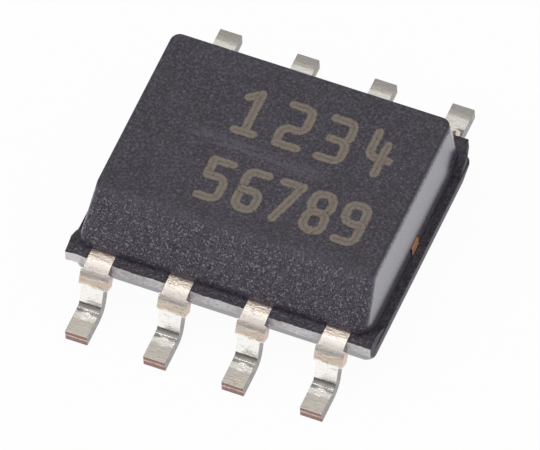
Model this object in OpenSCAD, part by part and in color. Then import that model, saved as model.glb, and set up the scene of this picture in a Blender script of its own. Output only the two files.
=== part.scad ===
// Small-outline integrated circuit with eight gull-wing leads.
// Origin: centre of the footprint on the seating plane. X runs along the moulding,
// Y runs across it from one row of leads to the other, Z points up. Millimetres.

/* [Moulding] */
// Length of the lower mould half at the parting plane
body_l = 5; // [4.8:0.02:5.1]
// Width of the lower mould half at the parting plane
body_w = 3.84; // [3.7:0.02:4]
// Height of the moulding from its underside to its top
body_h = 1.5; // [1.35:0.05:1.6]
// Gap between the seating plane and the underside
standoff = 0.15; // [0.1:0.01:0.25]
// How far the lower half stands past the upper half at the short ends
end_ledge = 0.13; // [0.04:0.01:0.16]
// How far the lower half stands past the upper half on the lead sides
side_ledge = 0.045; // [0.02:0.005:0.08]
// Height of the upright land under the parting plane
land_h = 0.06; // [0.03:0.01:0.12]
// Draft of the upper half's walls, in degrees
upper_draft = 6; // [3:1:9]
// Draft of the lower half's walls, in degrees
lower_draft = 12; // [8:1:18]
// Corner radius in plan
corner_r = 0.2; // [0.12:0.01:0.3]
// Rounding of the top and bottom edges
edge_r = 0.05; // [0.03:0.01:0.08]

/* [First-lead bevel] */
// Width of the bevel, measured level across the top
bevel_run = 0.56; // [0.4:0.02:0.7]
// Depth of the bevel, measured down from the top
bevel_drop = 0.7; // [0.4:0.02:0.74]

/* [Flash] */
// Gap between the web of flash at the long walls and the sheared dam bar
flash_gap = 0.012; // [0.005:0.001:0.03]
// How far the web stops short of the ends of the lower mould half
flash_inset = 0.05; // [0.02:0.01:0.1]
// How far the web runs back under the corners of the upper half
flash_wrap = 0.2; // [0.1:0.02:0.3]

/* [Ejector mark] */
// Diameter of the shallow round mark in the underside
mark_d = 1; // [0.6:0.1:1.4]
// Depth of that mark
mark_depth = 0.04; // [0.02:0.01:0.08]

/* [Leadframe] */
// Thickness of the sheet that the leads and the die pad are stamped from
sheet_t = 0.2; // [0.15:0.01:0.22]
// Height of the sheet's lower face above the seating plane, which is the parting plane
sheet_z = 0.62; // [0.55:0.01:0.68]
// Distance between the centres of neighbouring leads
pitch = 1.27; // [1.2:0.01:1.3]
// Distance between the tips of opposite leads
lead_span = 6; // [5.8:0.05:6.2]

/* [Leads] */
// Width of a lead where it leaves the moulding
shoulder_w = 0.4; // [0.34:0.01:0.46]
// Level length between the moulding and the first bend
shoulder_l = 0.145; // [0.1:0.005:0.2]
// Width of the leg and the foot
leg_w = 0.36; // [0.3:0.01:0.4]
// Lean of the leg away from upright, in degrees
leg_lean = 24; // [12:1:30]
// Inner radius of the bend at the shoulder
shoulder_bend_r = 0.1; // [0.06:0.01:0.14]
// Inner radius of the bend at the heel
heel_bend_r = 0.1; // [0.06:0.01:0.14]
// Width across the sheared stubs of the dam bar
dam_w = 0.47; // [0.42:0.01:0.52]
// Length of the stubs along the shoulder bend, in degrees of the bend
dam_turn = 24; // [10:1:40]
// Length of the stubs along the leg
dam_leg = 0.14; // [0.06:0.01:0.2]

/* [Fingers inside the moulding] */
// Width of the wings that lock a finger into the moulding
wing_w = 0.56; // [0.5:0.02:0.64]
// Length of those wings along the finger
wing_l = 0.12; // [0.08:0.01:0.16]
// Cover of moulding compound outside the wings
wing_cover = 0.16; // [0.12:0.01:0.2]
// Width of the landing for the bond wire at a finger's tip
landing_w = 0.5; // [0.46:0.01:0.6]
// Length of that landing
landing_l = 0.24; // [0.18:0.01:0.26]
// How far the landings of the four corner leads reach towards the middle
landing_reach = 0.35; // [0.2:0.01:0.45]

/* [Die pad] */
// Length of the die pad
pad_l = 3.3; // [2.9:0.05:3.4]
// Width of the die pad
pad_w = 2.1; // [1.8:0.05:2.2]
// Clear gap between the die pad and the tips of the fingers
finger_gap = 0.18; // [0.12:0.01:0.24]
// How far the die pad is pressed below the leads
downset = 0.18; // [0.1:0.01:0.22]
// Level length of the slope between the die pad and each tie bar
ramp_l = 0.22; // [0.15:0.01:0.28]
// Width of the two tie bars
tie_w = 0.28; // [0.2:0.01:0.34]
// How far a cut tie bar stands out of the end wall
tie_proud = 0.012; // [0.005:0.001:0.03]

/* [Die and bond wires] */
// Length of the die
die_l = 1.7; // [1.3:0.05:1.9]
// Width of the die
die_w = 1.3; // [1:0.05:1.4]
// Thickness of the die
die_t = 0.25; // [0.18:0.01:0.3]
// Thickness of the layer that fastens the die to its pad
attach_t = 0.03; // [0.02:0.005:0.05]
// How far that layer shows around the die
attach_margin = 0.06; // [0.03:0.01:0.1]
// Distance from the die's edge to the centre of a bond pad
bond_inset = 0.12; // [0.09:0.01:0.16]
// Diameter of a bond wire
wire_d = 0.03; // [0.025:0.001:0.04]
// Diameter of the ball bond on the die
ball_d = 0.08; // [0.06:0.005:0.1]
// Height of the ball bond
ball_h = 0.02; // [0.015:0.001:0.03]
// Rise of a wire's loop above the straight line between its two ends
wire_rise = 0.2; // [0.14:0.01:0.26]
// Diameter of the stitch bond on a finger
stitch_d = 0.07; // [0.05:0.005:0.09]
// Height of the stitch bond
stitch_h = 0.01; // [0.006:0.001:0.014]

/* [Hidden] */

// Leads on each side of the moulding
per_side = 4;
// Facets of a small rounded corner, and of every other round shape
corner_fn = 32;
$fn = 48;
// Height of the thin slices that a mould half is stretched over
slice_h = 0.001;
// How far a straight stretch runs into the bend that follows it, so that they join
weld = 0.0002;
// Steps of the rounding at the top and bottom edges, in degrees
edge_steps = [0, 30, 60, 90];

body_top = standoff + body_h;
sheet_top = sheet_z + sheet_t;
pad_z = sheet_z - downset;
pad_top = pad_z + sheet_t;
die_z = pad_top + attach_t;
die_top = die_z + die_t;

// Half sizes of the upper half at the parting plane
upper_x = body_l / 2 - end_ledge;
upper_y = body_w / 2 - side_ledge;
// Foot of the first-lead bevel
bevel_z = body_top - bevel_drop;

// How far a drafted wall has leaned in at a height over the parting plane
function upper_in(z) = (z - sheet_z) * tan(upper_draft);
function lower_in(z) = max(0, sheet_z - land_h - z) * tan(lower_draft);
// How far the bevel has cut the front wall back at a height
function bevel_in(z) = max(0, z - bevel_z) * (bevel_run / bevel_drop - tan(upper_draft));

// Plane of the end wall and of the long wall, halfway up the sheet
end_wall_x = upper_x - upper_in(sheet_z + sheet_t / 2);
long_wall_y = upper_y - upper_in(sheet_top);

// Side view of a lead: centre of the shoulder bend, leg length and centre of the heel bend
bend_y = long_wall_y + shoulder_l;
bend_turn = 90 - leg_lean;
bend_outer_r = shoulder_bend_r + sheet_t;
bend_z = sheet_top - bend_outer_r;
bend_to_heel = bend_outer_r + heel_bend_r;
heel_z = sheet_t + heel_bend_r;
leg_l = (bend_z + bend_to_heel * sin(leg_lean) - heel_z) / cos(leg_lean);
heel_y = bend_y + bend_to_heel * cos(leg_lean) + leg_l * sin(leg_lean);

// Outer and inner edge of the web of flash, which filled the sheet up to the dam bar
flash_y = bend_y + shoulder_bend_r * cos(leg_lean + dam_turn) - flash_gap;
flash_root_y = long_wall_y - flash_wrap;

// Fingers
finger_tip_y = pad_w / 2 + finger_gap;
wing_y = long_wall_y - wing_cover - wing_l;

// Place of a lead along the moulding: leads count from the front left corner, anticlockwise
function lead_x(n) = ((n <= per_side ? n : 2 * per_side + 1 - n) - (per_side + 1) / 2) * pitch;
function is_front(n) = n <= per_side;
// The same place seen from the lead's own side, with that side turned to +Y
function own_x(n) = is_front(n) ? -lead_x(n) : lead_x(n);
function is_corner(n) = abs(lead_x(n)) > pitch;

// Bond wire ends, seen from the lead's own side
function landing_x(n) = own_x(n) - (is_corner(n) ? sign(own_x(n)) * landing_reach / 2 : 0);
function landing_y() = finger_tip_y + landing_l / 2;
function bond_x(n) = sign(own_x(n)) * (is_corner(n) ? die_l / 2 - bond_inset : die_l / 6);
function bond_y() = die_w / 2 - bond_inset;

// Turns a lead's own side to where it belongs
module on_side(n) {
    rotate([0, 0, is_front(n) ? 180 : 0])
        children();
}

// Stretches a side view drawn in Y and Z over a width centred on X
module across(w) {
    rotate([90, 0, 90])
        translate([0, 0, -w / 2])
            linear_extrude(w)
                children();
}

// Part of a round bend: centre, start angle, turn, inner radius and width
module bend(y, z, start, turn, r, w) {
    rotate([90, 0, 90])
        translate([y, z, -w / 2])
            rotate([0, 0, start])
                rotate_extrude(angle = turn)
                    translate([r, 0])
                        square([sheet_t, w]);
}

// Four corner posts of a thin slice of the moulding
module slice(z, x, front, back, r) {
    for (side_x = [-1, 1])
        for (y = [-front + r, back - r])
            translate([side_x * (x - r), y, z])
                cylinder(r = r, h = slice_h, $fn = corner_fn);
}

// Slice of the upper half at a height, pulled in by the edge rounding
module upper_slice(z, round_in) {
    x = upper_x - upper_in(z) - round_in;
    back = upper_y - upper_in(z) - round_in;
    slice(z, x, back - bevel_in(z), back, corner_r - round_in);
}

// Upper mould half with its draft, first-lead bevel and rounded top edge
module upper_half() {
    hull() {
        upper_slice(sheet_z, 0);
        upper_slice(bevel_z, 0);
        for (a = edge_steps)
            upper_slice(body_top - slice_h - edge_r * (1 - sin(a)), edge_r * (1 - cos(a)));
    }
}

// Slice of the lower half at a height, pulled in by the edge rounding
module lower_slice(z, round_in) {
    x = body_l / 2 - lower_in(z) - round_in;
    y = body_w / 2 - lower_in(z) - round_in;
    slice(z, x, y, y, corner_r - round_in);
}

// Lower mould half with its upright land, draft and rounded bottom edge
module lower_half() {
    hull() {
        lower_slice(sheet_z - slice_h, 0);
        lower_slice(sheet_z - land_h, 0);
        for (a = edge_steps)
            lower_slice(standoff + edge_r * (1 - sin(a)), edge_r * (1 - cos(a)));
    }
}

// Web of compound that flowed between the leads as far as the dam bar
module flash_web(side_y) {
    x = body_l / 2 - flash_inset;
    reach = flash_y - flash_root_y;
    translate([-x, side_y > 0 ? flash_root_y : -flash_y, sheet_z])
        cube([2 * x, reach, sheet_t]);
}

// Everything that the moulding compound flowed around
module buried() {
    for (n = [1 : 2 * per_side]) {
        finger(n);
        gull_wing(n);
        bond_wire(n);
    }
    die_pad();
    die_attach();
    die();
}

module moulded_body() {
    color([0.27, 0.25, 0.28])
        difference() {
            union() {
                upper_half();
                lower_half();
                flash_web(-1);
                flash_web(1);
            }
            buried();
            translate([0, 0, standoff - mark_depth])
                cylinder(d = mark_d, h = 2 * mark_depth);
        }
}

// Level part of a lead, from its landing inside the moulding to the shoulder bend
module finger(n) {
    reach = is_corner(n) ? landing_reach : 0;
    inward = -sign(own_x(n));
    on_side(n)
        translate([own_x(n), 0, sheet_z])
            linear_extrude(sheet_t) {
                translate([-shoulder_w / 2, finger_tip_y])
                    square([shoulder_w, bend_y + weld - finger_tip_y]);
                translate([-wing_w / 2, wing_y])
                    square([wing_w, wing_l]);
                translate([-landing_w / 2 + min(0, inward * reach), finger_tip_y])
                    square([landing_w + reach, landing_l]);
            }
}

// Gull wing outside the moulding: shoulder bend, leg, heel bend and foot
module gull_wing(n) {
    on_side(n)
        translate([own_x(n), 0, 0]) {
            bend(bend_y, bend_z, leg_lean, bend_turn, shoulder_bend_r, shoulder_w);
            bend(bend_y, bend_z, leg_lean, dam_turn, shoulder_bend_r, dam_w);
            across(dam_w)
                translate([bend_y, bend_z])
                    rotate(leg_lean)
                        translate([shoulder_bend_r, -dam_leg])
                            square([sheet_t, dam_leg + weld]);
            across(leg_w)
                translate([bend_y, bend_z])
                    rotate(leg_lean)
                        translate([shoulder_bend_r, -leg_l - weld])
                            square([sheet_t, leg_l + 2 * weld]);
            bend(heel_y, heel_z, 180 + leg_lean, bend_turn, heel_bend_r, leg_w);
            across(leg_w)
                translate([heel_y - weld, 0])
                    square([lead_span / 2 - heel_y + weld, sheet_t]);
        }
}

module lead(n) {
    color([0.84, 0.81, 0.76]) {
        finger(n);
        gull_wing(n);
    }
}

// One tie bar with the slope that carries the sunken die pad
module tie_bar(side_x) {
    far = end_wall_x + tie_proud;
    near = pad_l / 2;
    rotate([90, 0, 0])
        translate([0, 0, -tie_w / 2])
            linear_extrude(tie_w)
                polygon([
                    [side_x * (near - sheet_t), pad_z],
                    [side_x * near, pad_z],
                    [side_x * (near + ramp_l), sheet_z],
                    [side_x * far, sheet_z],
                    [side_x * far, sheet_top],
                    [side_x * (near + ramp_l), sheet_top],
                    [side_x * near, pad_top],
                    [side_x * (near - sheet_t), pad_top]
                ]);
}

module die_pad() {
    color([0.78, 0.5, 0.36])
        union() {
            translate([-pad_l / 2, -pad_w / 2, pad_z])
                cube([pad_l, pad_w, sheet_t]);
            tie_bar(-1);
            tie_bar(1);
        }
}

module die_attach() {
    l = die_l + 2 * attach_margin;
    w = die_w + 2 * attach_margin;
    color([0.7, 0.7, 0.72])
        translate([-l / 2, -w / 2, pad_top])
            cube([l, w, attach_t]);
}

module die() {
    color([0.35, 0.38, 0.45])
        translate([-die_l / 2, -die_w / 2, die_z])
            cube([die_l, die_w, die_t]);
}

// Gold wire looped in one arc from the ball bond on the die to a stitch on a finger
module bond_wire(n) {
    run_x = landing_x(n) - bond_x(n);
    run_y = landing_y() - bond_y();
    run = norm([run_x, run_y]);
    // The arc stands on a chord that falls from the upper part of the ball to the finger
    start_z = die_top + ball_h * 3 / 4;
    fall = start_z - sheet_top;
    chord = norm([run, fall]);
    tilt = atan2(fall, run);
    arc_r = (chord * chord / 4 + wire_rise * wire_rise) / (2 * wire_rise);
    half_turn = asin(chord / 2 / arc_r);
    // Turn by which the wire runs on into the finger, to be trimmed flush with it
    run_on = 2 * asin(wire_d / arc_r);
    color([0.95, 0.77, 0.36])
        on_side(n)
            translate([bond_x(n), bond_y(), 0])
                rotate([90, 0, atan2(run_y, run_x)])
                    difference() {
                        union() {
                            translate([0, die_top + ball_h, 0])
                                rotate([90, 0, 0])
                                    cylinder(d = ball_d, h = ball_h);
                            translate([run / 2, start_z - fall / 2, 0])
                                rotate([0, 0, -tilt])
                                    translate([0, wire_rise - arc_r, 0])
                                        rotate([0, 0, 90 - half_turn - run_on])
                                            rotate_extrude(angle = 2 * half_turn + run_on)
                                                translate([arc_r, 0])
                                                    circle(d = wire_d);
                            translate([run, sheet_top + stitch_h, 0])
                                rotate([90, 0, 0])
                                    cylinder(d = stitch_d, h = stitch_h);
                        }
                        translate([run - ball_d, sheet_top - sheet_t, -ball_d])
                            cube([3 * ball_d, sheet_t, 2 * ball_d]);
                    }
}

moulded_body();
lead(1);  // lead_1
lead(2);  // lead_2
lead(3);  // lead_3
lead(4);  // lead_4
lead(5);  // lead_5
lead(6);  // lead_6
lead(7);  // lead_7
lead(8);  // lead_8
die_pad();
die_attach();
die();
bond_wire(1);  // bond_wire_1
bond_wire(2);  // bond_wire_2
bond_wire(3);  // bond_wire_3
bond_wire(4);  // bond_wire_4
bond_wire(5);  // bond_wire_5
bond_wire(6);  // bond_wire_6
bond_wire(7);  // bond_wire_7
bond_wire(8);  // bond_wire_8
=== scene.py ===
"""Looks of a small-outline integrated circuit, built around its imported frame.

Pieces are modelled in millimetres on a bench, from a primitive through edit-mode
operators, and are then brought to the frame's metres.
"""

import logging
import math
from dataclasses import dataclass, replace
from enum import Enum
from typing import Callable, Iterable, Sequence, Union

import bmesh
import bpy
from mathutils import Matrix, Vector


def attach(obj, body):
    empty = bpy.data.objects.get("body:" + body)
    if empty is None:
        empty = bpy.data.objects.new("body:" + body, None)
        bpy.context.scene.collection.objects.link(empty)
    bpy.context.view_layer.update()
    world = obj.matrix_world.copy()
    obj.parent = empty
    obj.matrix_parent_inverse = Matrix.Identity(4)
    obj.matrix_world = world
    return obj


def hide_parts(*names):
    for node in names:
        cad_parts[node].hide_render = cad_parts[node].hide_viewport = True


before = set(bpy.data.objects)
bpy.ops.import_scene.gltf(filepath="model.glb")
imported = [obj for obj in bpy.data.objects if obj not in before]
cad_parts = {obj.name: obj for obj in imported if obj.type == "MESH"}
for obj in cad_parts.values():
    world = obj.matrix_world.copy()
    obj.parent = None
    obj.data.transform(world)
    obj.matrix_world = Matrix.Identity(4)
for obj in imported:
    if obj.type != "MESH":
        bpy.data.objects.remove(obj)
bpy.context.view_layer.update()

MM = 0.001
# Distance within which two places count as one, and share of a normal that faces an axis
NEAR = 1e-4
FACING = 0.9
LEADS = range(1, 9)
PER_SIDE = 4
LOG = logging.getLogger("soic")

Point = Sequence[float]


class Slot(Enum):
    """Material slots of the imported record."""

    COMPOUND = "moulding_compound"
    TIN = "tin_plated_copper"
    COPPER = "bare_copper"
    ADHESIVE = "silver_filled_adhesive"
    SILICON = "silicon"
    GOLD = "gold"


# --------------------------------------------------------------------------- shaders


class Num:
    """A number that varies over a surface. Its operators add Math nodes."""

    def __init__(self, graph: "Graph", socket: bpy.types.NodeSocket) -> None:
        """Wraps an output socket of the graph's tree."""
        self.graph = graph
        self.socket = socket

    def math(self, operation: str, *others: Union["Num", float]) -> "Num":
        """Adds a Math node with this number as its first value.

        Args:
            operation: Name of the Math node's operation.
            others: Its second and third values.

        Returns:
            The node's result.
        """
        inputs = dict(enumerate((self, *others)))
        made = self.graph.node("ShaderNodeMath", {"operation": operation}, inputs)
        return Num(self.graph, made.outputs[0])

    def __add__(self, other: Union["Num", float]) -> "Num":
        """Sum."""
        return self.math("ADD", other)

    __radd__ = __add__

    def __sub__(self, other: Union["Num", float]) -> "Num":
        """Difference."""
        return self.math("SUBTRACT", other)

    def __rsub__(self, other: float) -> "Num":
        """Difference from a plain number."""
        return self.math("MULTIPLY", -1.0).math("ADD", other)

    def __mul__(self, other: Union["Num", float]) -> "Num":
        """Product."""
        return self.math("MULTIPLY", other)

    __rmul__ = __mul__

    def __abs__(self) -> "Num":
        """Size without its sign."""
        return self.math("ABSOLUTE")

    def least(self, other: Union["Num", float]) -> "Num":
        """Smaller of the two."""
        return self.math("MINIMUM", other)

    def most(self, other: Union["Num", float]) -> "Num":
        """Larger of the two."""
        return self.math("MAXIMUM", other)

    def rise(self, low: float, high: float) -> "Num":
        """Goes smoothly from 0 at low to 1 at high."""
        made = self.graph.node(
            "ShaderNodeMapRange",
            {"interpolation_type": "SMOOTHSTEP"},
            {0: self, 1: low, 2: high},
        )
        return Num(self.graph, made.outputs[0])

    def band(self, low: float, high: float, soft: float) -> "Num":
        """Is 1 from low to high, and fades to 0 over a soft width on both sides."""
        return self.rise(low - soft, low + soft) * (1 - self.rise(high - soft, high + soft))


Input = Union[Num, bpy.types.NodeSocket, float, Sequence[float]]


class Graph:
    """Node tree of one material or of the world."""

    def __init__(self, tree: bpy.types.NodeTree) -> None:
        """Starts from an empty tree."""
        self.tree = tree
        tree.nodes.clear()

    def node(self, kind: str, settings: dict | None = None,
             inputs: dict | None = None) -> bpy.types.Node:
        """Adds a node.

        Args:
            kind: The node's type.
            settings: Its properties, set first. "stops" gives a ramp's stops.
            inputs: Values or links of its sockets, by name or number.

        Returns:
            The node.
        """
        made = self.tree.nodes.new(kind)
        for key, value in (settings or {}).items():
            if key == "stops":
                ramp = made.color_ramp.elements
                while len(ramp) < len(value):
                    ramp.new(0.5)
                for stop, (place, colour) in zip(ramp, value):
                    stop.position = place
                    stop.color = (*colour, 1.0)
            else:
                setattr(made, key, value)
        for key, value in (inputs or {}).items():
            socket = made.inputs[key]
            if isinstance(value, Num):
                value = value.socket
            if isinstance(value, bpy.types.NodeSocket):
                self.tree.links.new(value, socket)
            elif socket.type == "RGBA" and len(value) == 3:
                socket.default_value = (*value, 1.0)
            else:
                socket.default_value = value
        return made

    def blend(self, first: Input, second: Input, share: Input) -> bpy.types.NodeSocket:
        """Goes from the first colour to the second as share goes from 0 to 1."""
        made = self.node(
            "ShaderNodeMix", {"data_type": "RGBA"}, {0: share, 6: first, 7: second}
        )
        return made.outputs[2]

    def place(self) -> bpy.types.NodeSocket:
        """Reads the place on the object.

        Returns:
            The place, in millimetres.
        """
        where = self.node("ShaderNodeTexCoord").outputs["Object"]
        scale = (1 / MM,) * 3
        made = self.node("ShaderNodeMapping", inputs={"Vector": where, "Scale": scale})
        return made.outputs[0]

    def axes(self, place: bpy.types.NodeSocket) -> tuple[Num, Num, Num]:
        """Splits a place into its X, Y and Z."""
        made = self.node("ShaderNodeSeparateXYZ", inputs={0: place})
        return tuple(Num(self, out) for out in made.outputs)

    def stretched(self, place: bpy.types.NodeSocket, by: Point) -> bpy.types.NodeSocket:
        """Multiplies a place by a factor on each axis."""
        made = self.node("ShaderNodeVectorMath", {"operation": "MULTIPLY"}, {0: place, 1: by})
        return made.outputs[0]

    def noise(self, place: bpy.types.NodeSocket, per_mm: float, detail: float = 2.0,
              roughness: float = 0.5) -> Num:
        """Cloudy noise from 0 to 1.

        Args:
            place: Where it is read, in millimetres.
            per_mm: Waves in a millimetre.
            detail: Octaves of finer noise.
            roughness: Strength of those octaves.

        Returns:
            The noise.
        """
        inputs = {"Vector": place, "Scale": per_mm, "Detail": detail, "Roughness": roughness}
        return Num(self, self.node("ShaderNodeTexNoise", inputs=inputs).outputs[0])

    def bump(self, height: Num, depth_mm: float) -> bpy.types.NodeSocket:
        """Normal of a surface with that relief, whose full depth is in millimetres."""
        made = self.node(
            "ShaderNodeBump", inputs={"Height": height, "Distance": depth_mm * MM}
        )
        return made.outputs[0]

    def skin(self, inputs: dict) -> bpy.types.NodeSocket:
        """Principled shader with the values or links of its sockets."""
        return self.node("ShaderNodeBsdfPrincipled", inputs=inputs).outputs[0]

    def surface(self, shader: bpy.types.NodeSocket) -> None:
        """Sends a shader to the material's output."""
        self.node("ShaderNodeOutputMaterial", inputs={"Surface": shader})


MADE: dict["Finish", bpy.types.Material] = {}


@dataclass(frozen=True)
class Finish:
    """A finish of one material, made on demand as a node material."""

    name: str

    def paint(self, graph: Graph) -> bpy.types.NodeSocket:
        """Builds the shader, in its own way for each finish."""
        raise NotImplementedError

    def material(self) -> bpy.types.Material:
        """Makes the material at its first use.

        Returns:
            The material.
        """
        if self not in MADE:
            MADE[self] = bpy.data.materials.new(self.name)
            MADE[self].use_nodes = True
            graph = Graph(MADE[self].node_tree)
            graph.surface(self.paint(graph))
        return MADE[self]


@dataclass(frozen=True)
class MouldingCompound(Finish):
    """Black epoxy filled with silica: grainy on top, coarser on the bevel, satin walls; painted
    light makes the bevel lighter towards its ridge, and painted shade darkens the walls below
    the ledge.
    """

    name: str = "grained_compound"
    dark: Point = (0.011, 0.0085, 0.0165)
    light: Point = (0.101, 0.088, 0.115)
    glint: Point = (0.35, 0.325, 0.40)
    satin: Point = (0.068, 0.058, 0.122)
    dust: Point = (0.12, 0.12, 0.14)
    grain_per_mm: float = 25.0
    leather_per_mm: float = 26.0
    cloud_per_mm: float = 1.3
    top: float = 1.65
    ridge_y: float = -1.28
    slope: float = 1.25
    bevel_end_y: Point = (-1.36, -1.24)
    ends_x: Point = (2.36, 2.42)
    underside_z: Point = (0.155, 0.165)
    land_z: Point = (0.56, 0.58)
    ledge_z: Point = (0.83, 0.86)
    top_rim_z: Point = (1.46, 1.63)
    worn: float = 0.26

    def scuff(self, graph: Graph, place: bpy.types.NodeSocket, x: Num, y: Num) -> Num:
        """Faint rub along the bare strip between the two lines of the marking.

        Args:
            graph: The material's tree.
            place: The place on the moulding.
            x: Its place along the moulding.
            y: Its place across the moulding.

        Returns:
            Strength of the rub, from 0 to 1.
        """
        streaks = graph.noise(graph.stretched(place, (0.9, 6.0, 1.0)), 3.0, 3.0, 0.6)
        across = y + x * 0.06 - 0.13 + (streaks - 0.5) * 0.3
        return (across.band(-0.1, 0.1, 0.06) * x.band(-1.3, 0.8, 0.25)
                * streaks.rise(0.35, 0.6))

    def paint(self, graph: Graph) -> bpy.types.NodeSocket:
        """Builds the shader, with the grain of each face of the mould.

        Args:
            graph: The material's tree.

        Returns:
            The shader's output.
        """
        place = graph.place()
        x, y, z = graph.axes(place)
        fine = graph.noise(place, self.grain_per_mm, 2.0, 0.6)
        pebble = graph.noise(place, self.leather_per_mm, 1.0)
        leather = abs(pebble - 0.5) * 2
        cloud = graph.noise(place, self.cloud_per_mm)
        off_bevel = abs(z - self.top - (y - self.ridge_y) * self.slope)
        before_top = 1 - y.rise(*self.bevel_end_y)
        bevel = (1 - off_bevel.rise(0.05, 0.12)) * before_top
        ends = abs(x).rise(*self.ends_x)
        below_ledge = 1 - z.rise(*self.ledge_z)
        ragged = (fine - 0.5) * self.worn
        near_bevel = (1 - (off_bevel + ragged).rise(0.02, 0.2)) * before_top
        flat = (z + ragged).rise(*self.top_rim_z).most(near_bevel)
        flat = flat.most(1 - z.rise(*self.underside_z))
        flat = flat.most(below_ledge * z.rise(*self.land_z).most(ends))
        grain = fine.rise(0.34, 0.66) * (1 - bevel) + leather.rise(0.0, 0.3) * bevel
        # painted shade: everything below the ledge is darkened, standing in for the shaded floor
        # that those walls mirror
        tone = grain * (0.62 + bevel * 0.35) + cloud.rise(0.3, 0.7) * 0.1 - below_ledge * 0.14
        # painted light: the bevel's grain is lifted to a lighter tone in the line above, and
        # here grows lighter towards the ridge and darker towards the bevel's foot
        tone = tone + bevel * (z - 1.25) * 0.25
        colour = graph.blend(self.dark, self.light, tone.least(1.0))
        glints = pebble.rise(0.57, 0.66) * bevel * 0.4 + fine.rise(0.6, 0.72) * 0.2
        colour = graph.blend(colour, self.glint, glints * (1 - below_ledge * 0.6))
        dust = self.scuff(graph, place, x, y) * z.rise(1.6, 1.64)
        colour = graph.blend(colour, self.dust, dust * 0.5)
        smooth = graph.blend(self.satin, colour, 0.3)
        colour = graph.blend(smooth, colour, flat)
        height = fine * 0.35 + leather * bevel * 1.3
        return graph.skin({
            "Base Color": colour,
            "Roughness": 0.24 + flat * 0.34 + fine * 0.06,
            "IOR": 1.65,
            "Specular Tint": (0.965, 0.92, 1.0, 1.0),
            "Coat Weight": (1 - flat) * 0.85,
            "Coat Roughness": 0.2,
            "Coat IOR": 1.75,
            "Normal": graph.bump(height * (0.12 + flat * 0.88), 0.008),
        })


@dataclass(frozen=True)
class BrokenFlash(Finish):
    """Compound torn off at a trimmed edge: grainy, and made pale by painted reflection of the
    white floor.
    """

    name: str = "broken_flash"
    dark: Point = (0.42, 0.405, 0.42)
    pale: Point = (0.92, 0.89, 0.92)
    pale_end_x: Point = (-2.35, -2.1)

    def paint(self, graph: Graph) -> bpy.types.NodeSocket:
        """Builds the shader, with the painted reflection strongest at the left end.

        Args:
            graph: The material's tree.

        Returns:
            The shader's output.
        """
        place = graph.place()
        chips = graph.noise(place, 16.0, 3.0, 0.65)
        cloud = graph.noise(place, 2.2)
        x = graph.axes(place)[0]
        # painted reflection: both colours are far paler than the black compound, standing in for
        # the white floor that the torn faces mirror; the grain is the compound's own
        tone = chips.rise(0.3, 0.66) * 0.6 + cloud.rise(0.35, 0.65) * 0.35
        tone = tone + (1 - x.rise(*self.pale_end_x)) * 0.5
        return graph.skin({
            "Base Color": graph.blend(self.dark, self.pale, tone.least(1.0)),
            "Roughness": 0.3,
            "IOR": 1.7,
            "Normal": graph.bump(chips, 0.006),
        })


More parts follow.
